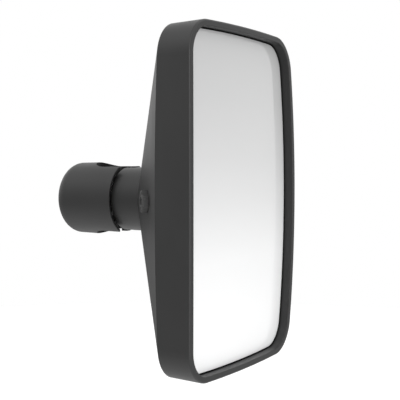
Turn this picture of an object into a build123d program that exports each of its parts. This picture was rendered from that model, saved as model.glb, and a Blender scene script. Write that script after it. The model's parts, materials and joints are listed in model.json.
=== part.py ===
from build123d import *
import math
import os

# Rear-view mirror head on a two-axis friction mount.
# Frame: +Z up, the mirror looks along -Y, the origin is the middle of the arm socket.

# --- head outline -------------------------------------------------------------
HEAD_WIDTH = 200.0
HEAD_HEIGHT = 300.8
HEAD_RISE = 1.7              # head centre above the arm axis
SIDE_BOW = 5.8               # how far the long sides bow outward at mid height
END_BOW = 2.0                # how far the short sides bow outward
CORNER_RADIUS = 31.5
FACE_RADIUS = 2600.0         # spherical curvature of rim and glass
FRONT_Y = -178.4             # crown of the front rim
WALL_DRAFT = 2.7             # degrees, side walls close in towards the back
WALL_BACK_Y = -142.4
WALL = 3.2
LIP_WIDTH = 5.8
LIP_DEPTH = 8.6              # from the rim to the seal under it
RIM_FILLET = 1.6
LIP_FILLET = 0.7             # inner edge of the lip

# --- glass pack, thicknesses measured inward from the lip ---------------------
SEAL = 0.6
GLASS = 3.0
FOAM = 2.0
CARRIER = 3.0
GLASS_FRONT = LIP_DEPTH + SEAL
GLASS_BACK = GLASS_FRONT + GLASS
FOAM_BACK = GLASS_BACK + FOAM
CARRIER_BACK = FOAM_BACK + CARRIER
GLASS_INSET = 4.6
SEAL_INSET = 4.2
SEAL_SHOW = 1.2              # width of the seal seen inside the lip
FOAM_INSET = 4.0             # further in than the glass
RIB_HALF = 1.2
RIB_PLACES = (-90, -55, 55, 90)
PLAY = 0.2                   # gap round parts that drop into one another
SLOPE_PLAY = 0.45            # room for a flat end against the curved carrier

# --- back shell ---------------------------------------------------------------
NECK_Y = -82.9
NECK_RADIUS = 34.0
SHELL_WALL = 3.5
SPIGOT_FRONT_Y = FRONT_Y + 27.0
SPIGOT_WALL = 2.5
LATCH_Y = FRONT_Y + 30.0
HOOK_X = (-55, 0, 55)
FRAME_SCREW_X = (-60, 0, 60)
POST_RADIUS = 5.5
POSTS = [(-70, -108), (0, -122), (70, -108), (-70, 108), (0, 122), (70, 108)]
STRAP_SCREWS = [(x, z) for x in (-36, 36) for z in (-13, 13)]

# --- joints -------------------------------------------------------------------
PAN_Y = -33.5                # vertical pivot in the cap
TILT_Y = -95.0               # horizontal pivot in the head
BALL_RADIUS = 33.0           # spherical lip of the collar, centred on the tilt axis
BALL_GAP = 0.8
RUNNING = 0.05               # radial clearance of a pivot bolt in its bushing
BUSHING_WALL = 1.5
PRESS_GAP = 0.02
FACE_GAP = 0.05

# --- cap ----------------------------------------------------------------------
CAP_MOUTH_Y = -52.0
CAP_MOUTH_RADIUS = 34.7
CAP_END_Y = 0.9
CAP_END_RADIUS = 33.7
CAP_DOME = 17.0
CAP_KNUCKLE = 12.0           # radius where wall and dome meet
MOUTH_FILLET = 0.8
MOUTH_BORE = 32.7
MOUTH_BORE_END_Y = -44.0
EAR_INNER = 16.0             # half height of the knuckle chamber
EAR_OUTER = 21.0             # seat of the pan bolt's washers
SLOT_HALF_WIDTH = 16.7
ARM_RADIUS = 11.0
ARM_BORE_END = -14.0
ARM_BORE_FACE = 30.0
SET_SCREW_X = (4.0, 16.0)
SET_SCREW_R = 4.0
SET_SCREW_LENGTH = 14.0
SET_SCREW_TIP = -ARM_RADIUS - 0.4    # backed out clear of the arm
INSERT_R = 5.6
INSERT_TOP = -13.5
INSERT_LENGTHS = (17.0, 10.5)        # each ends just under the round surface

# --- link ---------------------------------------------------------------------
COLLAR_RADIUS = 29.5
COLLAR_REAR_Y = -49.5
SEAT_RADIUS = 20.0
COLLAR_SCREW_Y = -56.0
COLLAR_SCREW_R = 3.0
SEAT_REAR_Y = -48.5
POCKET_RADIUS = 5.6
POCKET_FLOOR = 25.5
LUG_REAR_Y = -44.5           # pan stop lugs that reach into the slots of the cap
LUG_HALF_WIDTH = 3.2
LUG_TOP = 30.4
PAN_KNUCKLE_RADIUS = 15.9
PAN_KNUCKLE_HALF = 14.8
TILT_KNUCKLE_RADIUS = 13.5
TILT_KNUCKLE_HALF = 13.0

# --- M10 hardware -------------------------------------------------------------
BOLT_R = 5.0
HEX_FLATS = 16.0
HEX_HEIGHT = 6.4
NUT_HEIGHT = 8.0
THIN_HEAD = 4.0              # low head of the pan bolt
THIN_NUT = 6.0
THIN_WASHER = 1.6
SPRING_T = 2.2
WASHER_R = 10.0
NARROW_WASHER_R = 9.0
WASHER_T = 2.0
HOLE_R = 5.1
FLANK_BOLT_LENGTH = 25.0

# --- bracket ------------------------------------------------------------------
BRACKET_T = 4.0
BRACKET_Y = FRONT_Y + 33.0
BRACKET_HALF_HEIGHT = 22.0
BRACKET_HALF_WIDTH = 80.0
EAR_X = 14.0
EAR_RADIUS = 12.0
TILT_STACK = EAR_X + BRACKET_T
WING_DEPTH = 9.0             # wing face below the outer flank surface
WING_FRONT = -31.0           # reach of a wing from its bolt, along the flank
WING_BACK = 14.0
SPOT_RADIUS = 9.7
SPOT_DEPTH = 3.0
BOSS_RADIUS = 13.0
FLANK_SHARE = 0.418          # place of the flank bolt between wall and neck

FACE_CENTRE = (0, FRONT_Y + FACE_RADIUS, HEAD_RISE)
TILT_CENTRE = (0, TILT_Y, 0)


# --- helpers ------------------------------------------------------------------
def rod(axis, radius, low, high, a=0.0, b=0.0):
    """Cylinder along one axis, a and b are the other two coordinates in XYZ order."""
    middle = (low + high) / 2
    turn = {"x": (0, 90, 0), "y": (90, 0, 0), "z": (0, 0, 0)}[axis]
    centre = {"x": (middle, a, b), "y": (a, middle, b), "z": (a, b, middle)}[axis]
    return Pos(*centre) * Rot(*turn) * Cylinder(radius, high - low)


def block(x, y, z):
    """Box from three (low, high) pairs."""
    size = [high - low for low, high in (x, y, z)]
    centre = [(high + low) / 2 for low, high in (x, y, z)]
    return Pos(*centre) * Box(*size)


def ball(depth):
    """Sphere that bounds the head's layers at a depth behind the rim."""
    return Pos(*FACE_CENTRE) * Sphere(FACE_RADIUS - depth)


def placed(part, origin, out, across=(0, 0, 1)):
    """Part made along its own +Z, moved so that +Z points out of the joint."""
    return Plane(origin=origin, x_dir=across, z_dir=out).location * part


def washer(outer, inner, thickness):
    return Pos(0, 0, thickness / 2) * (Cylinder(outer, thickness) - Cylinder(inner, thickness))


def hex_block(flats, height):
    """Hexagon with its outer corners turned off, standing on Z = 0."""
    corner = flats / math.sqrt(3)
    body = extrude(RegularPolygon(corner, 6), amount=height)
    turned = Pos(0, 0, height / 2) * Cylinder(corner, height)
    turned = chamfer(turned.edges().group_by(Axis.Z)[-1], 0.55, 0.95)
    return body & turned


def hex_bolt(length, flats=HEX_FLATS, height=HEX_HEIGHT, radius=BOLT_R):
    """Bolt with a dished hexagon head above Z = 0 and its shank below."""
    head = hex_block(flats, height) - Pos(0, 0, height) * Cylinder(flats / 4, height)
    shank = Pos(0, 0, -length / 2) * Cylinder(radius, length)
    shank = chamfer(shank.edges().group_by(Axis.Z)[0], 0.8)
    return head + shank


def hex_nut(height=NUT_HEIGHT, flats=HEX_FLATS, radius=BOLT_R):
    return hex_block(flats, height) - Pos(0, 0, height / 2) * Cylinder(radius, 2 * height)


def spring_washer():
    """Split ring with a slanted gap."""
    ring = washer(NARROW_WASHER_R, HOLE_R, SPRING_T)
    return ring - Pos(7, 0, SPRING_T / 2) * Rot(30, 0, 0) * Box(6, 1.2, 8)


def countersunk_screw(radius, length, head_radius):
    """Flat-head screw with its head's top on Z = 0 and a hexagon socket."""
    head_height = head_radius - radius
    head = Pos(0, 0, -head_height / 2) * Cone(radius, head_radius, head_height)
    shank = Pos(0, 0, -length / 2) * Cylinder(radius, length)
    socket = extrude(RegularPolygon(radius * 0.75, 6), amount=-radius)
    return head + shank - socket


def countersunk_hole(radius, length, head_radius):
    """The space such a screw needs, with play all round."""
    wide = head_radius + PLAY
    head_height = wide - radius
    head = Pos(0, 0, -head_height / 2) * Cone(radius, wide, head_height)
    shank = Pos(0, 0, -length / 2) * Cylinder(radius + FACE_GAP, length)
    return head + shank


def button_screw(radius, length, head_radius, head_height):
    head = Pos(0, 0, head_height / 2) * Cylinder(head_radius, head_height)
    head = fillet(head.edges().group_by(Axis.Z)[-1], head_height * 0.45)
    socket = Pos(0, 0, head_height) * extrude(RegularPolygon(radius * 0.8, 6), amount=-head_height * 0.6)
    return head + Pos(0, 0, -length / 2) * Cylinder(radius, length) - socket


def face_y(x, z, depth):
    """Y of the curved layer at that depth, above the point x, z of the head."""
    radius = FACE_RADIUS - depth
    return FACE_CENTRE[1] - math.sqrt(radius ** 2 - x ** 2 - z ** 2)


# --- head outline and flank geometry ------------------------------------------
def outline(y, inset, inset_z=None):
    """Head outline at one Y: four bowed sides with rounded corners."""
    half_w = HEAD_WIDTH / 2 - inset
    half_h = HEAD_HEIGHT / 2 - (inset if inset_z is None else inset_z)
    x, z = half_w - SIDE_BOW, half_h - END_BOW
    edges = [
        ThreePointArc((x, -z), (half_w, 0), (x, z)),
        ThreePointArc((x, z), (0, half_h), (-x, z)),
        ThreePointArc((-x, z), (-half_w, 0), (-x, -z)),
        ThreePointArc((-x, -z), (0, -half_h), (x, -z)),
    ]
    face = make_face(edges)
    face = fillet(face.vertices(), CORNER_RADIUS - inset)
    return Plane(origin=(0, y, HEAD_RISE), x_dir=(1, 0, 0), z_dir=(0, 1, 0)) * face


def draft_at(y):
    return (y - FRONT_Y) * math.tan(math.radians(WALL_DRAFT))


def prism(inset, start, end):
    return extrude(outline(start, inset), amount=end - start, dir=(0, 1, 0))


def drafted(inset):
    """The head's drafted body from the crown of the rim to the back of the wall."""
    back = inset + draft_at(WALL_BACK_Y)
    return loft([outline(FRONT_Y, inset), outline(WALL_BACK_Y, back)], ruled=True)


def layer(inset, front, back):
    """Curved sheet between two depths, with the head's outline."""
    return (prism(inset, FRONT_Y, WALL_BACK_Y) & ball(front)) - ball(back)


def neck_circle(y, radius):
    """Circle split where the corner arcs of the outline begin and end."""
    breaks = [-3.6, 3.6, 88.1, 91.9, 176.4, 183.6, 268.1, 271.9, 356.4]
    arcs = [CenterArc((0, 0), radius, a, b - a) for a, b in zip(breaks, breaks[1:])]
    return Plane(origin=(0, y, 0), x_dir=(1, 0, 0), z_dir=(0, 1, 0)) * make_face(arcs)


RIM_X = HEAD_WIDTH / 2 - draft_at(WALL_BACK_Y)
RIM_Z = HEAD_HEIGHT / 2 - draft_at(WALL_BACK_Y)
FLANK_RUN = RIM_X - NECK_RADIUS
FLANK_DEPTH = NECK_Y - WALL_BACK_Y
FLANK_LENGTH = math.hypot(FLANK_RUN, FLANK_DEPTH)
FLANK_OUT = (FLANK_DEPTH / FLANK_LENGTH, FLANK_RUN / FLANK_LENGTH)
FLANK_POINT = (RIM_X - FLANK_SHARE * FLANK_RUN, WALL_BACK_Y + FLANK_SHARE * FLANK_DEPTH)
SLOPE_RUN = RIM_Z - NECK_RADIUS
SLOPE_LENGTH = math.hypot(SLOPE_RUN, FLANK_DEPTH)
SHELL_SHIFT_X = SHELL_WALL * FLANK_LENGTH / FLANK_DEPTH
SHELL_SHIFT_Z = SHELL_WALL * SLOPE_LENGTH / FLANK_DEPTH


def on_flanks(part, height):
    """Copies of a part on both flanks, its base at a height above their surface."""
    copies = []
    for side in (-1, 1):
        out = (side * FLANK_OUT[0], FLANK_OUT[1], 0)
        x = side * (FLANK_POINT[0] + height * FLANK_OUT[0])
        y = FLANK_POINT[1] + height * FLANK_OUT[1]
        copies.append(placed(part, (x, y, HEAD_RISE), out))
    return copies


# --- head ---------------------------------------------------------------------
def back_body(shift_x, shift_z, neck_radius):
    inset = draft_at(WALL_BACK_Y)
    rim = outline(WALL_BACK_Y, inset + shift_x, inset + shift_z)
    return loft([rim, neck_circle(NECK_Y, neck_radius)], ruled=True)


def front_frame():
    body = drafted(0) & ball(0)
    rim = [edge for edge in body.edges() if edge.bounding_box().max.Y < WALL_BACK_Y - RIM_FILLET]
    body = fillet(rim, RIM_FILLET)
    cavity = drafted(WALL) & ball(LIP_DEPTH)
    window = prism(LIP_WIDTH, FRONT_Y - 1, WALL_BACK_Y)
    body = body - cavity - window
    body = fillet(lip_edges(body), LIP_FILLET)
    for x in HOOK_X:
        top = HEAD_RISE + HEAD_HEIGHT / 2 - WALL - draft_at(LATCH_Y)
        body += block((x - 7, x + 7), (LATCH_Y - 1.2, LATCH_Y + 1.2), (top - 2.4, top + 0.4))
    for hole in frame_screw_shapes(countersunk_hole(2.0, 14, 4.0)):
        body -= hole
    return body


def lip_edges(body):
    """Front edges of the window."""
    half_w = HEAD_WIDTH / 2 - LIP_WIDTH + PLAY
    half_h = HEAD_HEIGHT / 2 - LIP_WIDTH + PLAY
    found = []
    for edge in body.edges():
        low, high = edge.bounding_box().min, edge.bounding_box().max
        reach_x = max(-low.X, high.X)
        reach_z = max(HEAD_RISE - low.Z, high.Z - HEAD_RISE)
        if reach_x < half_w and reach_z < half_h and high.Y < FRONT_Y + LIP_DEPTH - 2:
            found.append(edge)
    return found


def frame_screw_shapes(shape):
    """A shape at each screw place under the bottom wall."""
    bottom = HEAD_RISE - HEAD_HEIGHT / 2 + draft_at(LATCH_Y) + 0.4
    shapes = []
    for x in FRAME_SCREW_X:
        rise = END_BOW * (x / (HEAD_WIDTH / 2)) ** 2
        shapes.append(placed(shape, (x, LATCH_Y, bottom + rise), (0, 0, -1), (1, 0, 0)))
    return shapes


def back_shell():
    outer = back_body(0, 0, NECK_RADIUS)
    shell = outer - back_body(SHELL_SHIFT_X, SHELL_SHIFT_Z, NECK_RADIUS - 6)
    inset = draft_at(WALL_BACK_Y) + WALL + PLAY
    spigot = prism(inset, SPIGOT_FRONT_Y, WALL_BACK_Y + 1)
    shell += spigot - prism(inset + SPIGOT_WALL, SPIGOT_FRONT_Y - 1, WALL_BACK_Y + 2)
    for x, z in POSTS:
        start = face_y(x, z, CARRIER_BACK) + SLOPE_PLAY
        post = rod("y", POST_RADIUS, start, WALL_BACK_Y + 1, x, HEAD_RISE + z)
        shell += post + (rod("y", POST_RADIUS, WALL_BACK_Y, NECK_Y, x, HEAD_RISE + z) & outer)
    for x in FRAME_SCREW_X:
        low = HEAD_RISE - HEAD_HEIGHT / 2 + WALL + draft_at(LATCH_Y) + 3.0
        shell += block((x - 6, x + 6), (LATCH_Y - 5, WALL_BACK_Y + 1), (low, low + 9))
    for boss in on_flanks(Pos(0, 0, WING_DEPTH / 2) * Cylinder(BOSS_RADIUS, WING_DEPTH), -WING_DEPTH):
        shell += boss & outer
    for pocket in on_flanks(Pos(0, 0, 10) * Cylinder(SPOT_RADIUS, 20), -SPOT_DEPTH):
        shell -= pocket
    for hole in on_flanks(Cylinder(HOLE_R + 0.4, 60), 0):
        shell -= hole
    shell -= Pos(*TILT_CENTRE) * Sphere(BALL_RADIUS + BALL_GAP)
    for x in HOOK_X:
        top = HEAD_RISE + HEAD_HEIGHT / 2 - draft_at(LATCH_Y)
        shell -= block((x - 8, x + 8), (LATCH_Y - 1.6, LATCH_Y + 1.6), (top - 10, top))
    for hole in frame_screw_shapes(Pos(0, 0, -8) * Cylinder(2.05, 16)):
        shell -= hole
    for x, z in POSTS:
        shell -= rod("y", 2.55, FRONT_Y, face_y(x, z, CARRIER_BACK) + 16, x, HEAD_RISE + z)
    return shell


def mirror_glass():
    return layer(GLASS_INSET, GLASS_FRONT, GLASS_BACK)


def glass_seal():
    """Rubber channel round the edge of the glass."""
    ring = layer(SEAL_INSET, LIP_DEPTH, GLASS_BACK) - mirror_glass()
    return ring - prism(LIP_WIDTH + SEAL_SHOW, FRONT_Y, WALL_BACK_Y)


def foam_pad():
    return layer(GLASS_INSET + FOAM_INSET, GLASS_BACK, FOAM_BACK)


def carrier_plate():
    plate = layer(GLASS_INSET, FOAM_BACK, CARRIER_BACK)
    for x, z in STRAP_SCREWS:
        plate += rod("y", 7.0, face_y(x, z, CARRIER_BACK - 1), BRACKET_Y, x, HEAD_RISE + z)
    for z in RIB_PLACES:
        middle = HEAD_RISE + z
        rib = block((-80, 80), (FRONT_Y, FRONT_Y + 28), (middle - RIB_HALF, middle + RIB_HALF))
        plate += (rib & ball(CARRIER_BACK - 1)) & prism(GLASS_INSET + 8, FRONT_Y, WALL_BACK_Y)
    for x, z in POSTS:
        plate -= screw_at(countersunk_hole(2.5, 20, 5.0), x, z)
    for x, z in STRAP_SCREWS:
        plate -= screw_at(countersunk_hole(3.0, 40, 6.0), x, z)
    return plate


def screw_at(shape, x, z):
    """Shape whose head lies in the front of the carrier plate, under the foam."""
    y = face_y(x, z, FOAM_BACK) + SLOPE_PLAY
    return placed(shape, (x, y, HEAD_RISE + z), (0, -1, 0), (1, 0, 0))


def carrier_screws():
    return [screw_at(countersunk_screw(2.5, 16, 5.0), x, z) for x, z in POSTS]


def bracket_screws():
    return [screw_at(countersunk_screw(3.0, 28, 6.0), x, z) for x, z in STRAP_SCREWS]


def bracket_nuts():
    nut = hex_nut(5.0, 10.0, 3.0 + FACE_GAP)
    y = BRACKET_Y + BRACKET_T
    return [placed(nut, (x, y, HEAD_RISE + z), (0, 1, 0)) for x, z in STRAP_SCREWS]


def frame_screws():
    return frame_screw_shapes(countersunk_screw(2.0, 12, 4.0))


def support_bracket():
    """Pressed strap with two ears for the tilt bolt and a wing under each flank."""
    high = BRACKET_HALF_HEIGHT
    wide = BRACKET_HALF_WIDTH
    strap = block((-wide, wide), (BRACKET_Y, BRACKET_Y + BRACKET_T), (-high, high))
    wing = block((-high, high), (WING_FRONT, WING_BACK), (0, BRACKET_T))
    for side, turned in zip((-1, 1), (wing, wing.rotate(Axis.Z, 180))):
        out = (side * FLANK_OUT[0], FLANK_OUT[1], 0)
        depth = WING_DEPTH + BRACKET_T
        x = side * (FLANK_POINT[0] - depth * FLANK_OUT[0])
        y = FLANK_POINT[1] - depth * FLANK_OUT[1]
        piece = placed(turned, (x, y, 0), out)
        strap += piece & block((-100, 100), (BRACKET_Y, NECK_Y), (-high, high))
    for side in (-1, 1):
        x = sorted((side * EAR_X, side * (EAR_X + BRACKET_T)))
        strap += block(x, (BRACKET_Y, TILT_Y), (-EAR_RADIUS, EAR_RADIUS))
        strap += rod("x", EAR_RADIUS, x[0], x[1], TILT_Y, 0)
    strap -= rod("x", HOLE_R, -30, 30, TILT_Y, 0)
    for hole in on_flanks(Cylinder(HOLE_R, 60), 0):
        strap -= hole
    for x, z in STRAP_SCREWS:
        strap -= rod("y", 3.2, BRACKET_Y - 1, BRACKET_Y + BRACKET_T + 1, x, HEAD_RISE + z)
    return strap


def flank_washers():
    return on_flanks(washer(NARROW_WASHER_R, HOLE_R, WASHER_T), -SPOT_DEPTH)


def flank_bolts():
    return on_flanks(hex_bolt(FLANK_BOLT_LENGTH), -SPOT_DEPTH + WASHER_T)


def flank_nuts():
    return on_flanks(hex_nut(radius=BOLT_R + FACE_GAP), -WING_DEPTH - BRACKET_T - NUT_HEIGHT)


# --- tilt joint ---------------------------------------------------------------
def tilt_bolt():
    length = 2 * (TILT_STACK + THIN_WASHER) + THIN_NUT + 1
    return placed(hex_bolt(length), (-TILT_STACK - THIN_WASHER, TILT_Y, 0), (-1, 0, 0))


def tilt_nut():
    nut = hex_nut(THIN_NUT, radius=BOLT_R + FACE_GAP)
    return placed(nut, (TILT_STACK + THIN_WASHER, TILT_Y, 0), (1, 0, 0))


def tilt_washers():
    ring = washer(WASHER_R, HOLE_R, THIN_WASHER)
    return [placed(ring, (side * TILT_STACK, TILT_Y, 0), (side, 0, 0)) for side in (-1, 1)]


def tilt_friction_washers():
    ring = washer(12.0, HOLE_R + 0.2, EAR_X - TILT_KNUCKLE_HALF - 2 * FACE_GAP)
    start = TILT_KNUCKLE_HALF + FACE_GAP
    return [placed(ring, (side * start, TILT_Y, 0), (side, 0, 0)) for side in (-1, 1)]


def tilt_bushings():
    ring = washer(BOLT_R + BUSHING_WALL, BOLT_R + RUNNING, TILT_KNUCKLE_HALF - 1)
    return [placed(ring, (side, TILT_Y, 0), (side, 0, 0)) for side in (-1, 1)]


# --- link ---------------------------------------------------------------------
def link_core():
    """Cast knuckle: vertical eye at the back, horizontal eye at the front."""
    core = rod("z", PAN_KNUCKLE_RADIUS, -PAN_KNUCKLE_HALF, PAN_KNUCKLE_HALF, 0, PAN_Y)
    core += rod("y", 11.0, TILT_Y, PAN_Y)
    core += rod("y", SEAT_RADIUS, TILT_Y + TILT_KNUCKLE_RADIUS + 3.5, SEAT_REAR_Y)
    core += rod("x", TILT_KNUCKLE_RADIUS, -TILT_KNUCKLE_HALF, TILT_KNUCKLE_HALF, TILT_Y, 0)
    bushing = BOLT_R + BUSHING_WALL + PRESS_GAP
    core -= rod("z", bushing, -20, 20, 0, PAN_Y)
    core -= rod("x", bushing, -20, 20, TILT_Y, 0)
    core -= rod("z", COLLAR_SCREW_R + FACE_GAP, -30, 30, 0, COLLAR_SCREW_Y)
    return core


def pan_bushings():
    ring = washer(BOLT_R + BUSHING_WALL, BOLT_R + RUNNING, PAN_KNUCKLE_HALF - 1)
    return [placed(ring, (0, PAN_Y, side), (0, 0, side), (1, 0, 0)) for side in (-1, 1)]


def pan_friction_washers():
    ring = washer(14.0, HOLE_R + 0.2, EAR_INNER - PAN_KNUCKLE_HALF - 2 * FACE_GAP)
    start = PAN_KNUCKLE_HALF + FACE_GAP
    return [placed(ring, (0, PAN_Y, side * start), (0, 0, side), (1, 0, 0)) for side in (-1, 1)]


def swivel_collar():
    """Round cover of the link with a spherical lip inside the neck of the shell."""
    lip_end = TILT_Y + 7.0
    shell = rod("y", COLLAR_RADIUS, TILT_Y + 14.0, COLLAR_REAR_Y)
    shell = chamfer(shell.edges().group_by(Axis.Y)[-1], 1.2)
    lip = Pos(*TILT_CENTRE) * Sphere(BALL_RADIUS) & rod("y", BALL_RADIUS + 1, lip_end, TILT_Y + 15.0)
    body = shell + lip - Pos(*TILT_CENTRE) * Sphere(BALL_RADIUS - 3)
    body -= rod("y", SEAT_RADIUS + FACE_GAP, TILT_Y, 0)
    for side in (-1, 1):
        low, high = sorted((side * POCKET_FLOOR, side * 40))
        body -= rod("z", POCKET_RADIUS, low, high, 0, COLLAR_SCREW_Y)
        lug_z = sorted((side * (EAR_OUTER + 0.5), side * LUG_TOP))
        body += block((-LUG_HALF_WIDTH, LUG_HALF_WIDTH), (COLLAR_REAR_Y - 0.5, LUG_REAR_Y), lug_z)
    body -= rod("z", COLLAR_SCREW_R + PLAY, -40, 40, 0, COLLAR_SCREW_Y)
    return body


def collar_screws():
    screw = button_screw(COLLAR_SCREW_R, 15.0, 4.8, 3.6)
    floor = [(0, COLLAR_SCREW_Y, side * POCKET_FLOOR) for side in (-1, 1)]
    return [placed(screw, place, (0, 0, place[2]), (1, 0, 0)) for place in floor]


# --- cap ----------------------------------------------------------------------
def cap_profile():
    """Half section: mouth, slightly tapered wall, dome of a knuckle arc and a crown arc."""
    reach = CAP_END_RADIUS - CAP_KNUCKLE
    crown = (reach ** 2 + CAP_DOME ** 2 - CAP_KNUCKLE ** 2) / (2 * (CAP_DOME - CAP_KNUCKLE))
    crown_centre = CAP_END_Y + CAP_DOME - crown
    turn = math.degrees(math.atan2(CAP_END_Y - crown_centre, reach))
    edges = [
        Line((0, CAP_MOUTH_Y), (CAP_MOUTH_RADIUS, CAP_MOUTH_Y)),
        Line((CAP_MOUTH_RADIUS, CAP_MOUTH_Y), (CAP_END_RADIUS, CAP_END_Y)),
        CenterArc((reach, CAP_END_Y), CAP_KNUCKLE, 0, turn),
        CenterArc((0, crown_centre), crown, turn, 90 - turn),
        Line((0, CAP_END_Y + CAP_DOME), (0, CAP_MOUTH_Y)),
    ]
    return make_face(edges)


def slot_prism(half_width, low, high, front_y):
    """U-shaped prism round the pan axis, open towards the mouth."""
    round_end = rod("z", half_width, low, high, 0, PAN_Y)
    return round_end + block((-half_width, half_width), (front_y, PAN_Y), (low, high))


def pivot_cap():
    cap = revolve(cap_profile(), Axis.Y)
    cap = fillet(cap.edges().group_by(Axis.Y)[0], MOUTH_FILLET)
    cap -= rod("y", MOUTH_BORE, CAP_MOUTH_Y - 1, MOUTH_BORE_END_Y)
    cap -= slot_prism(PAN_KNUCKLE_RADIUS + 1.1, -EAR_INNER, EAR_INNER, CAP_MOUTH_Y)
    cap -= block((-25, 25), (CAP_MOUTH_Y, PAN_Y - 3), (-EAR_INNER, EAR_INNER))
    for side in (-1, 1):
        low, high = sorted((side * EAR_OUTER, side * 40))
        cap -= slot_prism(SLOT_HALF_WIDTH, low, high, CAP_MOUTH_Y - 1)
    cap -= rod("z", HOLE_R, -40, 40, 0, PAN_Y)
    cap -= rod("x", ARM_RADIUS, ARM_BORE_END, 40)
    cap -= block((ARM_BORE_FACE, 40), (-16, 16), (-20, 20))
    for x, length in zip(SET_SCREW_X, INSERT_LENGTHS):
        cap -= rod("z", INSERT_R, INSERT_TOP - length, INSERT_TOP, x, 0)
        cap -= rod("z", SET_SCREW_R + PLAY, -40, 0, x, 0)
    return cap


def set_screws():
    low = SET_SCREW_TIP - SET_SCREW_LENGTH
    socket = Pos(0, 0, low) * extrude(RegularPolygon(SET_SCREW_R * 0.55, 6), amount=4)
    screw = rod("z", SET_SCREW_R - PRESS_GAP, low, SET_SCREW_TIP) - socket
    return [Pos(x, 0, 0) * screw for x in SET_SCREW_X]


def screw_inserts():
    rings = []
    for x, length in zip(SET_SCREW_X, INSERT_LENGTHS):
        ring = rod("z", INSERT_R - PRESS_GAP, INSERT_TOP - length, INSERT_TOP, x, 0)
        rings.append(ring - rod("z", SET_SCREW_R + PRESS_GAP, -40, 0, x, 0))
    return rings


def pan_washers():
    ring = washer(WASHER_R, HOLE_R, THIN_WASHER)
    return [placed(ring, (0, PAN_Y, side * EAR_OUTER), (0, 0, side), (1, 0, 0)) for side in (-1, 1)]


def pan_spring_washer():
    return placed(spring_washer(), (0, PAN_Y, EAR_OUTER + THIN_WASHER), (0, 0, 1), (1, 0, 0))


def pan_bolt():
    base = EAR_OUTER + THIN_WASHER + SPRING_T
    length = base + EAR_OUTER + THIN_WASHER + THIN_NUT
    return placed(hex_bolt(length, height=THIN_HEAD), (0, PAN_Y, base), (0, 0, 1), (1, 0, 0))


def pan_nut():
    nut = hex_nut(THIN_NUT, radius=BOLT_R + FACE_GAP)
    return placed(nut, (0, PAN_Y, -EAR_OUTER - THIN_WASHER), (0, 0, -1), (1, 0, 0))


PIECES = [
    front_frame, back_shell, mirror_glass, glass_seal, foam_pad, carrier_plate, carrier_screws,
    frame_screws, support_bracket, bracket_screws, bracket_nuts, flank_bolts, flank_washers,
    flank_nuts, tilt_bolt, tilt_nut, tilt_washers, tilt_friction_washers, tilt_bushings,
    link_core, pan_bushings, pan_friction_washers, swivel_collar, collar_screws, pivot_cap,
    set_screws, screw_inserts, pan_washers, pan_spring_washer, pan_bolt, pan_nut,
]

os.makedirs("parts", exist_ok=True)
for piece in PIECES:
    shape = piece()
    if isinstance(shape, list):
        shape = Compound(children=[solid for part in shape for solid in part.solids()])
    export_step(shape, os.path.join("parts", piece.__name__ + ".step"))
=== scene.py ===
import json
import math

import bmesh
import bpy
import numpy as np
from mathutils import Matrix, Vector


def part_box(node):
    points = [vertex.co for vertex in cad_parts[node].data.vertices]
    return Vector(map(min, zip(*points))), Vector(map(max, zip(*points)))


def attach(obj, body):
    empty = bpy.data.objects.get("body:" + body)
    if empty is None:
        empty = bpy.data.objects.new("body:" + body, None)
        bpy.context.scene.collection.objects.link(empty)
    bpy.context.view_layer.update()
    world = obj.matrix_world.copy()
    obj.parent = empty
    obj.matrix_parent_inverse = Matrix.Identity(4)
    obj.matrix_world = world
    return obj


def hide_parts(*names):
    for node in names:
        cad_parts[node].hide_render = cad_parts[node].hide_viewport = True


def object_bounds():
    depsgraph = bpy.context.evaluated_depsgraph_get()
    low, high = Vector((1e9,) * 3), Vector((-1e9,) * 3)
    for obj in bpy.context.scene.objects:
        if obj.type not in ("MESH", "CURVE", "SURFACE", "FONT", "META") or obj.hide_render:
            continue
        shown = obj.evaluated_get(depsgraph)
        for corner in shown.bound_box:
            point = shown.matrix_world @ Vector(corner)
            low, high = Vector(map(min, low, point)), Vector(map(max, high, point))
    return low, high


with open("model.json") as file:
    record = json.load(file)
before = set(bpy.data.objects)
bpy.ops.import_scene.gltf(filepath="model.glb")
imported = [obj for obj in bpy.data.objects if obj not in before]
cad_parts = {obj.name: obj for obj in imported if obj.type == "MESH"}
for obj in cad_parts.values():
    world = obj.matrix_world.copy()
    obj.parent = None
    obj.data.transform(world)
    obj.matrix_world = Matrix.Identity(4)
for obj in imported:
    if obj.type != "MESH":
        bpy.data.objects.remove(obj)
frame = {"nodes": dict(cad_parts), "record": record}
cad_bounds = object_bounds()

# Looks of the mirror head. Metres, +Z up, the glass looks along -Y.

MM = 0.001

# --- camera -------------------------------------------------------------------
CAMERA_TARGET = Vector((-0.0261, -0.1429, 0.0016))
CAMERA_AZIMUTH = math.radians(60.011)
CAMERA_ELEVATION = math.radians(2.533)
CAMERA_DISTANCE = 0.82
CAMERA_LENS = 84.87

# --- studio -------------------------------------------------------------------
FLOOR_DROP = 0.15            # floor below the lowest point of the head
FLOOR_RADIUS = 1.3
FLOOR_POINTS = 96
LIGHT_STRENGTH = 1.5
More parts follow.
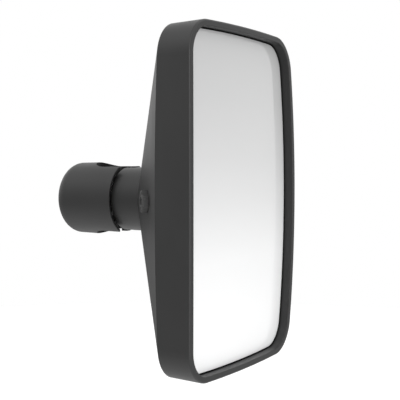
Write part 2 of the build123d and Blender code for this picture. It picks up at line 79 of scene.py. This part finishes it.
# Brightness of the surroundings by the height of a direction (-1 down, 1 up),
# as a share of LIGHT_STRENGTH: over most of the set, and towards WALL_DIRECTION.
OPEN_SIDE = (
    (-1.0, 0.95), (-0.75, 0.85), (-0.5, 0.60), (-0.15, 0.40), (0.05, 0.37),
    (0.3, 0.48), (0.55, 0.90), (0.75, 1.20), (0.9, 0.85), (1.0, 0.60),
)
WALL_SIDE = (
    (-1.0, 0.80), (-0.6, 0.75), (-0.3, 0.38), (-0.12, 0.26), (-0.03, 0.28),
    (0.08, 0.92), (0.35, 0.82), (0.7, 0.68), (1.0, 0.60),
)
WALL_DIRECTION = (0.59, 0.81, 0.0)
WALL_BLEND = 0.75            # share of the wall side straight towards it
SOFTBOX_DIRECTION = (-0.5, -0.866, 0.0)
SOFTBOX_EDGE = (0.84, 0.97)  # cosines from its centre where it fades in
SOFTBOX_GAIN = 2.0
MIX_A, MIX_B, MIX_RESULT = 6, 7, 2   # colour sockets of the mix node

# --- fasteners ----------------------------------------------------------------
M10 = 5.0 * MM
M10_FLATS = 16.0 * MM
M10_PITCH = 1.5 * MM
HEX_HEIGHT = 6.4 * MM
HEX_CHAMFER = 0.07 * M10_FLATS
CHAMFER_SLOPE = math.tan(math.radians(30))
CHAMFER_STEPS = 5
WASHER_FACE_RADIUS = 0.475 * M10_FLATS
WASHER_FACE = 0.35 * MM
BORE_CHAMFER = 0.6 * MM
THREAD_DEPTH = 0.55 * M10_PITCH
THREAD_STEPS = 8             # rings in one turn
TIP_RADIUS = 0.3 * M10
FLANK_PLAIN = 4.0 * MM       # length of the plain shank above each thread
PAN_PLAIN = 38.0 * MM
TILT_PLAIN = 32.0 * MM
SEGMENTS = 72                # points round every ring
SMOOTH_ANGLE = math.radians(32)
THIN_HEAD = 4.0 * MM
DISH_RADIUS = 4.0 * MM
DISH_SHARE = 0.5             # depth of the dish, as a share of the head
BORE_PLAY = 0.05 * MM

# --- glass --------------------------------------------------------------------
FACE_RADIUS = 2.6
GLASS_THICKNESS = 3.0 * MM
GLASS_RINGS = 28
GLASS_POINTS = 256
GROUND_EDGE = 0.7 * MM
GLASS_HALF_HEIGHT = 0.15     # the painted shade tones run over the height of the pane
# Painted shade: the pane's base colour by height, darker towards the top, stands in for how the light
# falls on the mirror.
GLASS_PAINTED_SHADE_TONES = (
    (0.0, 0.66), (0.17, 0.645), (0.33, 0.60), (0.49, 0.50),
    (0.63, 0.43), (0.79, 0.375), (1.0, 0.33),
)
# Painted light: the pane glows with its painted shade tone, though it is no lamp.
GLASS_PAINTED_GLOW = 0.3


def make_camera():
    level = math.cos(CAMERA_ELEVATION)
    east = math.sin(CAMERA_AZIMUTH) * level
    north = math.cos(CAMERA_AZIMUTH) * level
    forward = Vector((east, north, -math.sin(CAMERA_ELEVATION)))
    data = bpy.data.cameras.new("camera")
    data.lens = CAMERA_LENS
    data.sensor_width = 36.0
    camera = bpy.data.objects.new("camera", data)
    camera.location = CAMERA_TARGET - CAMERA_DISTANCE * forward
    camera.rotation_euler = forward.to_track_quat("-Z", "Y").to_euler()
    bpy.context.collection.objects.link(camera)
    bpy.context.scene.camera = camera


# --- material helpers ---------------------------------------------------------
def new_material(name):
    material = bpy.data.materials.new(name)
    material.use_nodes = True
    return material, material.node_tree, material.node_tree.nodes["Principled BSDF"]


def coordinates(tree, stretch=(1, 1, 1)):
    """Object coordinates, stretched per axis."""
    place = tree.nodes.new("ShaderNodeTexCoord")
    mapping = tree.nodes.new("ShaderNodeMapping")
    mapping.inputs["Scale"].default_value = stretch
    tree.links.new(place.outputs["Object"], mapping.inputs["Vector"])
    return mapping.outputs["Vector"]


def noise(tree, scale, detail=3.0, stretch=(1, 1, 1)):
    node = tree.nodes.new("ShaderNodeTexNoise")
    node.inputs["Scale"].default_value = scale
    node.inputs["Detail"].default_value = detail
    tree.links.new(coordinates(tree, stretch), node.inputs["Vector"])
    return node.outputs["Fac"]


def cells(tree, scale):
    node = tree.nodes.new("ShaderNodeTexVoronoi")
    node.inputs["Scale"].default_value = scale
    tree.links.new(coordinates(tree), node.inputs["Vector"])
    return node.outputs["Distance"]


def spread(tree, value, low, high, start=0.3, end=0.7):
    """A value from 0 to 1 mapped to a range."""
    node = tree.nodes.new("ShaderNodeMapRange")
    node.inputs["From Min"].default_value = start
    node.inputs["From Max"].default_value = end
    node.inputs["To Min"].default_value = low
    node.inputs["To Max"].default_value = high
    tree.links.new(value, node.inputs["Value"])
    return node.outputs["Result"]


def ramp(tree, value, stops):
    """Colour ramp from (position, colour) pairs."""
    node = tree.nodes.new("ShaderNodeValToRGB")
    elements = node.color_ramp.elements
    for index, (position, colour) in enumerate(stops):
        element = elements[index] if index < 2 else elements.new(position)
        element.position = position
        element.color = (*colour, 1)
    tree.links.new(value, node.inputs["Fac"])
    return node.outputs["Color"]


def bump(tree, shader, heights):
    """Bumps laid over one another, from (height, strength, distance) triples."""
    normal = None
    for height, strength, distance in heights:
        node = tree.nodes.new("ShaderNodeBump")
        node.inputs["Strength"].default_value = strength
        node.inputs["Distance"].default_value = distance
        tree.links.new(height, node.inputs["Height"])
        if normal:
            tree.links.new(normal, node.inputs["Normal"])
        normal = node.outputs["Normal"]
    tree.links.new(normal, shader.inputs["Normal"])


def finish(tree, shader, colour, roughness, heights, metallic=0.0):
    tree.links.new(colour, shader.inputs["Base Color"])
    tree.links.new(roughness, shader.inputs["Roughness"])
    shader.inputs["Metallic"].default_value = metallic
    bump(tree, shader, heights)


def grey(level):
    return (level, level, level)


# --- materials ----------------------------------------------------------------
def black_plastic():
    """Black moulding with a fine spark-eroded grain and faint flow clouds."""
    material, tree, shader = new_material("black_moulded_plastic")
    clouds = noise(tree, 22.0, 4.0, (1, 1, 0.5))
    grain = noise(tree, 2400.0, 2.0)
    colour = ramp(tree, clouds, [(0.3, grey(0.0130)), (0.7, grey(0.0170))])
    heights = [(grain, 0.16, 0.00006), (noise(tree, 700.0, 3.0), 0.06, 0.0001)]
    finish(tree, shader, colour, spread(tree, clouds, 0.42, 0.52), heights)
    shader.inputs["IOR"].default_value = 1.47
    return material


def silvered_glass():
    """Convex mirror: a bright pane whose colour holds painted shade, darker towards the top, and a
    painted glow in that tone, under a clear coat.
    """
    material, tree, shader = new_material("silvered_glass")
    split = tree.nodes.new("ShaderNodeSeparateXYZ")
    tree.links.new(coordinates(tree), split.inputs["Vector"])
    height = spread(tree, split.outputs["Z"], 0.0, 1.0, -GLASS_HALF_HEIGHT, GLASS_HALF_HEIGHT)
    # painted shade: the colour darkens towards the top of the pane
    stops = [(at, (tone, tone * 1.002, tone * 1.004)) for at, tone in GLASS_PAINTED_SHADE_TONES]
    colour = ramp(tree, height, stops)
    haze = noise(tree, 60.0, 3.0)
    finish(tree, shader, colour, spread(tree, haze, 0.30, 0.36), [(haze, 0.01, 0.0001)])
    shader.inputs["IOR"].default_value = 1.2
    # painted glow: the pane emits its painted shade tone, though it is no lamp
    tree.links.new(colour, shader.inputs["Emission Color"])
    shader.inputs["Emission Strength"].default_value = GLASS_PAINTED_GLOW
    shader.inputs["Coat Weight"].default_value = 1.0
    shader.inputs["Coat Roughness"].default_value = 0.02
    shader.inputs["Coat IOR"].default_value = 1.5
    return material


def rubber():
    material, tree, shader = new_material("seal_rubber")
    bloom = noise(tree, 90.0, 4.0)
    colour = ramp(tree, bloom, [(0.35, grey(0.002)), (0.65, grey(0.004))])
    finish(tree, shader, colour, spread(tree, bloom, 0.70, 0.85), [(noise(tree, 1600.0), 0.2, 0.0001)])
    shader.inputs["IOR"].default_value = 1.2
    return material


def foam():
    material, tree, shader = new_material("closed_cell_foam")
    pores = cells(tree, 900.0)
    colour = ramp(tree, pores, [(0.1, grey(0.02)), (0.6, grey(0.06))])
    finish(tree, shader, colour, spread(tree, pores, 0.85, 0.95), [(pores, 0.7, 0.0004)])
    return material


def filled_nylon():
    """Glass-filled carrier plastic, with short fibres showing along the flow."""
    material, tree, shader = new_material("glass_filled_plastic")
    fibres = noise(tree, 260.0, 6.0, (0.25, 1, 4))
    colour = ramp(tree, fibres, [(0.35, grey(0.055)), (0.7, grey(0.085))])
    finish(tree, shader, colour, spread(tree, fibres, 0.45, 0.62), [(fibres, 0.15, 0.0002)])
    return material


def coated_steel():
    """Black zinc-flake coating, slightly worn through in specks."""
    material, tree, shader = new_material("black_coated_steel")
    specks = noise(tree, 900.0, 6.0)
    colour = ramp(tree, specks, [(0.3, grey(0.030)), (0.68, grey(0.050)), (0.78, grey(0.14))])
    heights = [(noise(tree, 1800.0), 0.15, 0.00008), (specks, 0.08, 0.0001)]
    finish(tree, shader, colour, spread(tree, specks, 0.32, 0.48), heights, 0.25)
    return material


def zinc():
    """Zinc plate with a drawn grain and milky passivation patches."""
    material, tree, shader = new_material("zinc_plated_steel")
    patches = noise(tree, 140.0, 5.0)
    drawn = noise(tree, 500.0, 3.0, (1, 1, 0.1))
    colour = ramp(tree, patches, [(0.3, (0.50, 0.51, 0.53)), (0.7, (0.63, 0.63, 0.62))])
    finish(tree, shader, colour, spread(tree, drawn, 0.24, 0.42), [(drawn, 0.12, 0.0001)], 1.0)
    return material


def cast_alloy():
    material, tree, shader = new_material("die_cast_alloy")
    skin = noise(tree, 380.0, 7.0)
    colour = ramp(tree, skin, [(0.3, (0.36, 0.365, 0.37)), (0.7, (0.52, 0.525, 0.53))])
    heights = [(skin, 0.35, 0.0003), (noise(tree, 1900.0), 0.2, 0.0001)]
    finish(tree, shader, colour, spread(tree, skin, 0.42, 0.62), heights, 1.0)
    return material


def sintered_bronze():
    material, tree, shader = new_material("sintered_bronze")
    pores = cells(tree, 2200.0)
    colour = ramp(tree, pores, [(0.05, (0.20, 0.13, 0.06)), (0.4, (0.52, 0.37, 0.19))])
    finish(tree, shader, colour, spread(tree, pores, 0.38, 0.55), [(pores, 0.4, 0.0001)], 1.0)
    return material


def nylon():
    material, tree, shader = new_material("natural_nylon")
    marks = noise(tree, 420.0, 5.0, (1, 1, 0.3))
    colour = ramp(tree, marks, [(0.3, (0.66, 0.65, 0.60)), (0.7, (0.76, 0.75, 0.71))])
    finish(tree, shader, colour, spread(tree, marks, 0.34, 0.46), [(marks, 0.08, 0.0001)])
    return material


MATERIALS = {
    "housing": black_plastic(),
    "mirror": silvered_glass(),
    "seal": rubber(),
    "foam": foam(),
    "carrier": filled_nylon(),
    "black_steel": coated_steel(),
    "zinc_steel": zinc(),
    "cast_alloy": cast_alloy(),
    "bronze": sintered_bronze(),
    "nylon": nylon(),
}


def slot_of(node):
    return next(row["material_slot"] for row in frame["record"]["subparts"] if row["node"] == node)


def dress_nodes():
    for row in frame["record"]["subparts"]:
        mesh = frame["nodes"][row["node"]].data
        mesh.materials.clear()
        mesh.materials.append(MATERIALS[row["material_slot"]])


# --- mesh helpers -------------------------------------------------------------
def add_piece(name, parts, stands_for, body):
    """One object from (vertices, faces) parts, in place of a CAD node and riding on its body."""
    mesh = bpy.data.meshes.new(name)
    points = []
    faces = []
    for vertices, part_faces in parts:
        start = len(points)
        points += [tuple(v) for v in vertices]
        faces += [[start + i for i in face] for face in part_faces]
    mesh.from_pydata(points, [], faces)
    build = bmesh.new()
    build.from_mesh(mesh)
    bmesh.ops.recalc_face_normals(build, faces=build.faces)
    build.to_mesh(mesh)
    build.free()
    mesh.shade_smooth()
    mesh.set_sharp_from_angle(angle=SMOOTH_ANGLE)
    slot = slot_of(stands_for)
    mesh.materials.append(MATERIALS[slot])
    piece = bpy.data.objects.new(name, mesh)
    bpy.context.collection.objects.link(piece)
    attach(piece, body)
    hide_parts(stands_for)


def stack(rings, closed=False):
    """Faces between rings of equal length; a closed stack joins its last ring to its first."""
    count = len(rings[0])
    vertices = [point for ring in rings for point in ring]
    faces = []
    for low in range(len(rings) if closed else len(rings) - 1):
        high = (low + 1) % len(rings)
        for i in range(count):
            j = (i + 1) % count
            faces.append([low * count + i, low * count + j, high * count + j, high * count + i])
    if not closed:
        faces.append(list(range(count))[::-1])
        last = (len(rings) - 1) * count
        faces.append([last + i for i in range(count)])
    return vertices, faces


def hex_ring(flats, height, limit):
    """Hexagon ring at a height, its corners cut off at a limiting radius."""
    ring = []
    for i in range(SEGMENTS):
        angle = 2 * math.pi * i / SEGMENTS
        off = angle % (math.pi / 3) - math.pi / 6
        radius = min(flats / 2 / math.cos(off), limit)
        ring.append((radius * math.cos(angle), radius * math.sin(angle), height))
    return ring


def round_ring(radius, height):
    return hex_ring(4 * radius, height, radius)


def hex_rings(height, foot, both_ends=False):
    """Outer rings of an M10 hexagon from its washer face to the arcs of its chamfer."""
    corner = M10_FLATS / math.sqrt(3)
    drops = [HEX_CHAMFER * step / CHAMFER_STEPS for step in range(CHAMFER_STEPS, -1, -1)]

    def ring(at, drop):
        return hex_ring(M10_FLATS, at, corner - (HEX_CHAMFER - drop))

    top = [ring(height - drop * CHAMFER_SLOPE, drop) for drop in drops]
    if both_ends:
        return [ring(drop * CHAMFER_SLOPE, drop) for drop in reversed(drops)] + top
    neck = [round_ring(WASHER_FACE_RADIUS, at) for at in (0.0, foot)]
    return neck + [hex_ring(M10_FLATS, foot, corner)] + top


def thread_rings(low, high):
    """Rings of a helical M10 V thread whose tip is chamfered."""
    count = int((high - low) / M10_PITCH * THREAD_STEPS)
    rings = []
    for k in range(count + 1):
        z = low + (high - low) * k / count
        lead = max(0.0, THREAD_DEPTH - (z - low))
        ring = []
        for i in range(SEGMENTS):
            turn = i / SEGMENTS
            phase = abs(((z / M10_PITCH - turn) % 1.0) * 2 - 1)
            cut = THREAD_DEPTH * min(1.0, max(0.0, 1.15 * phase - 0.08))
            r = M10 - max(cut, lead)
            angle = 2 * math.pi * turn
            ring.append((r * math.cos(angle), r * math.sin(angle), z))
        rings.append(ring)
    return rings


def hex_bolt(length, height, plain):
    """Dished hexagon bolt: seat at Z = 0, head above, plain shank and thread below."""
    rings = [round_ring(TIP_RADIUS, -length)]
    rings += thread_rings(-length, -plain)
    rings += [round_ring(M10, -plain + 0.6 * MM), round_ring(M10, -0.5 * MM)]
    rings.append(round_ring(M10 * 1.05, 0.0))
    rings += hex_rings(height, WASHER_FACE)
    floor = height * (1 - DISH_SHARE)
    rings += [round_ring(DISH_RADIUS + 0.35 * MM, height), round_ring(DISH_RADIUS, height - 0.3 * MM)]
    rings += [round_ring(DISH_RADIUS * 0.94, floor), round_ring(DISH_RADIUS * 0.2, floor)]
    return stack(rings)


def hex_nut(height):
    """Nut between Z = 0 and its height, chamfered on both faces and at both ends of the bore."""
    bore = M10 + BORE_PLAY
    mouth = bore + BORE_CHAMFER
    rings = [round_ring(bore, height - BORE_CHAMFER), round_ring(bore, BORE_CHAMFER)]
    rings.append(round_ring(mouth, 0.0))
    rings += hex_rings(height, 0.0, both_ends=True)
    rings.append(round_ring(mouth, height))
    return stack(rings, closed=True)


def moved(part, origin, out):
    """A part made along +Z, placed with +Z along a direction and one corner facing up, or towards +X
    when the direction is upright.
    """
    out = Vector(out).normalized()
    across = Vector((0, 0, 1)) if abs(out.z) < 0.9 else Vector((1, 0, 0))
    side = out.cross(across).normalized()
    matrix = Matrix((across, side, out)).transposed().to_4x4()
    matrix.translation = Vector(origin)
    vertices, faces = part
    return [matrix @ Vector(v) for v in vertices], faces


def node_points(node, side=None):
    """Vertices of a CAD node, or of its half on one side of the plane X = 0."""
    points = np.array([v.co for v in frame["nodes"][node].data.vertices])
    return points if side is None else points[points[:, 0] * side > 0]


def ring_axis(node, side):
    """Centre and outward axis of a washer on one flank."""
    points = node_points(node, side)
    axes = np.linalg.svd(points - points.mean(0))[2]
    axis = next(a for a in axes if abs(a[2]) < 0.1 and np.ptp(points @ a) < 12 * MM)
    return (points.min(0) + points.max(0)) / 2, axis * np.sign(axis[0] * side)


# --- fasteners ----------------------------------------------------------------
def make_flank_fasteners():
    bolts = []
    nuts = []
    for side in (-1, 1):
        centre, axis = ring_axis("flank_washers", side)
        seat = (node_points("flank_washers", side) @ axis).max()
        tip = (node_points("flank_bolts", side) @ axis).min()
        nut = node_points("flank_nuts", side) @ axis
        foot = centre - axis * (centre @ axis)
        bolts.append(moved(hex_bolt(seat - tip, HEX_HEIGHT, FLANK_PLAIN), foot + axis * seat, axis))
        nuts.append(moved(hex_nut(nut.max() - nut.min()), foot + axis * nut.min(), axis))
    add_piece("flank_bolts_threaded", bolts, "flank_bolts", "head")
    add_piece("flank_nuts_chamfered", nuts, "flank_nuts", "head")


def make_pan_fasteners():
    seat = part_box("pan_spring_washer")[1].z
    low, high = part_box("pan_bolt")
    centre = (low + high) / 2
    bolt = moved(hex_bolt(seat - low.z, THIN_HEAD, PAN_PLAIN), (centre.x, centre.y, seat), (0, 0, 1))
    add_piece("pan_bolt_threaded", [bolt], "pan_bolt", "arm_clamp")
    nut_low, nut_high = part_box("pan_nut")
    nut = moved(hex_nut(nut_high.z - nut_low.z), (centre.x, centre.y, nut_low.z), (0, 0, 1))
    add_piece("pan_nut_chamfered", [nut], "pan_nut", "arm_clamp")


def make_tilt_fasteners():
    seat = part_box("tilt_washers")[0].x
    low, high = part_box("tilt_bolt")
    centre = (low + high) / 2
    bolt = moved(hex_bolt(high.x - seat, HEX_HEIGHT, TILT_PLAIN), (seat, centre.y, centre.z), (-1, 0, 0))
    add_piece("tilt_bolt_threaded", [bolt], "tilt_bolt", "head")
    nut_low, nut_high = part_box("tilt_nut")
    nut = moved(hex_nut(nut_high.x - nut_low.x), (nut_low.x, centre.y, centre.z), (1, 0, 0))
    add_piece("tilt_nut_chamfered", [nut], "tilt_nut", "head")


# --- glass --------------------------------------------------------------------
def glass_outline():
    """Radius of the glass's edge at even angles round its middle, and that middle."""
    points = node_points("mirror_glass")
    middle = (points.min(0) + points.max(0)) / 2
    flat = points[:, [0, 2]] - middle[[0, 2]]
    wanted = np.linspace(-math.pi, math.pi, GLASS_POINTS, endpoint=False)
    away = np.stack([np.cos(wanted), np.sin(wanted)], 1)
    start = convex_outline(flat)
    side = np.roll(start, -1, 0) - start
    radii = []
    for direction in away:
        cross = direction[0] * side[:, 1] - direction[1] * side[:, 0]
        reach = (start[:, 0] * side[:, 1] - start[:, 1] * side[:, 0]) / np.where(cross == 0, 1, cross)
        radii.append(min(r for r, c in zip(reach, cross) if c != 0 and r > 0))
    return wanted, radii, middle


def convex_outline(flat):
    """Corners of the convex hull of flat points, in order."""
    build = bmesh.new()
    for x, y in flat:
        build.verts.new((x, y, 0))
    result = bmesh.ops.convex_hull(build, input=build.verts)
    corners = {v for v in result["geom"] if isinstance(v, bmesh.types.BMVert)}
    points = np.array([v.co[:2] for v in corners])
    build.free()
    order = np.argsort(np.arctan2(points[:, 1], points[:, 0]))
    return points[order]


def make_glass():
    """Convex pane with ground edges."""
    angles, radii, middle = glass_outline()
    centre_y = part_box("mirror_glass")[0].y + FACE_RADIUS

    def ring(scale, trim, depth):
        points = []
        for angle, radius in zip(angles, radii):
            reach = radius * scale - trim
            x = reach * math.cos(angle)
            z = reach * math.sin(angle)
            y = centre_y - math.sqrt((FACE_RADIUS - depth) ** 2 - x * x - z * z)
            points.append((middle[0] + x, y, middle[2] + z))
        return points

    shares = [0.02 + 0.98 * step / GLASS_RINGS for step in range(GLASS_RINGS)]
    front = [ring(share, 0.0, 0.0) for share in shares]
    steps = [
        (GROUND_EDGE, 0.0), (GROUND_EDGE * 0.3, GROUND_EDGE * 0.3), (0.0, GROUND_EDGE),
        (0.0, GLASS_THICKNESS - GROUND_EDGE), (GROUND_EDGE, GLASS_THICKNESS),
    ]
    edge = [ring(1.0, trim, depth) for trim, depth in steps]
    back = [ring(share, 0.0, GLASS_THICKNESS) for share in reversed(shares)]
    add_piece("convex_mirror_glass", [stack(front + edge + back)], "mirror_glass", "head")


# --- studio -------------------------------------------------------------------
def make_floor():
    bpy.ops.mesh.primitive_circle_add(vertices=FLOOR_POINTS, radius=FLOOR_RADIUS, fill_type="NGON")
    floor = bpy.context.object
    floor.name = "floor"
    low, high = cad_bounds
    floor.location = ((low[0] + high[0]) / 2, (low[1] + high[1]) / 2, low[2] - FLOOR_DROP)
    material, tree, shader = new_material("pale_floor")
    shader.inputs["Base Color"].default_value = (0.93, 0.93, 0.93, 1)
    shader.inputs["Roughness"].default_value = 0.9
    floor.data.materials.append(material)
    floor.visible_glossy = False


def surroundings(tree, height, stops):
    """Grey levels by the height of a direction."""
    return ramp(tree, height, [((at + 1) / 2, grey(level)) for at, level in stops])


def make_studio():
    world = bpy.data.worlds.new("studio")
    bpy.context.scene.world = world
    world.use_nodes = True
    tree = world.node_tree
    background = tree.nodes["Background"]
    place = tree.nodes.new("ShaderNodeTexCoord")
    split = tree.nodes.new("ShaderNodeSeparateXYZ")
    tree.links.new(place.outputs["Generated"], split.inputs["Vector"])
    height = spread(tree, split.outputs["Z"], 0.0, 1.0, -1.0, 1.0)
    facing = tree.nodes.new("ShaderNodeVectorMath")
    facing.operation = "DOT_PRODUCT"
    facing.inputs[1].default_value = WALL_DIRECTION
    tree.links.new(place.outputs["Generated"], facing.inputs[0])
    blend = tree.nodes.new("ShaderNodeMix")
    blend.data_type = "RGBA"
    share = spread(tree, facing.outputs["Value"], 0.0, 1.0, 0.0, WALL_BLEND)
    tree.links.new(share, blend.inputs["Factor"])
    tree.links.new(surroundings(tree, height, OPEN_SIDE), blend.inputs[MIX_A])
    tree.links.new(surroundings(tree, height, WALL_SIDE), blend.inputs[MIX_B])
    softbox = tree.nodes.new("ShaderNodeVectorMath")
    softbox.operation = "DOT_PRODUCT"
    softbox.inputs[1].default_value = SOFTBOX_DIRECTION
    tree.links.new(place.outputs["Generated"], softbox.inputs[0])
    glow = spread(tree, softbox.outputs["Value"], 0.0, SOFTBOX_GAIN, *SOFTBOX_EDGE)
    total = tree.nodes.new("ShaderNodeVectorMath")
    total.operation = "ADD"
    tree.links.new(blend.outputs[MIX_RESULT], total.inputs[0])
    tree.links.new(glow, total.inputs[1])
    tree.links.new(total.outputs["Vector"], background.inputs["Color"])
    background.inputs["Strength"].default_value = LIGHT_STRENGTH
    backdrop = tree.nodes.new("ShaderNodeBackground")
    backdrop.inputs["Color"].default_value = (1, 1, 1, 1)
    path = tree.nodes.new("ShaderNodeLightPath")
    seen = tree.nodes.new("ShaderNodeMixShader")
    tree.links.new(path.outputs["Is Camera Ray"], seen.inputs["Fac"])
    tree.links.new(background.outputs["Background"], seen.inputs[1])
    tree.links.new(backdrop.outputs["Background"], seen.inputs[2])
    tree.links.new(seen.outputs["Shader"], tree.nodes["World Output"].inputs["Surface"])
    bpy.context.scene.view_settings.view_transform = "Standard"


make_camera()
dress_nodes()
make_flank_fasteners()
make_pan_fasteners()
make_tilt_fasteners()
make_glass()
make_floor()
make_studio()
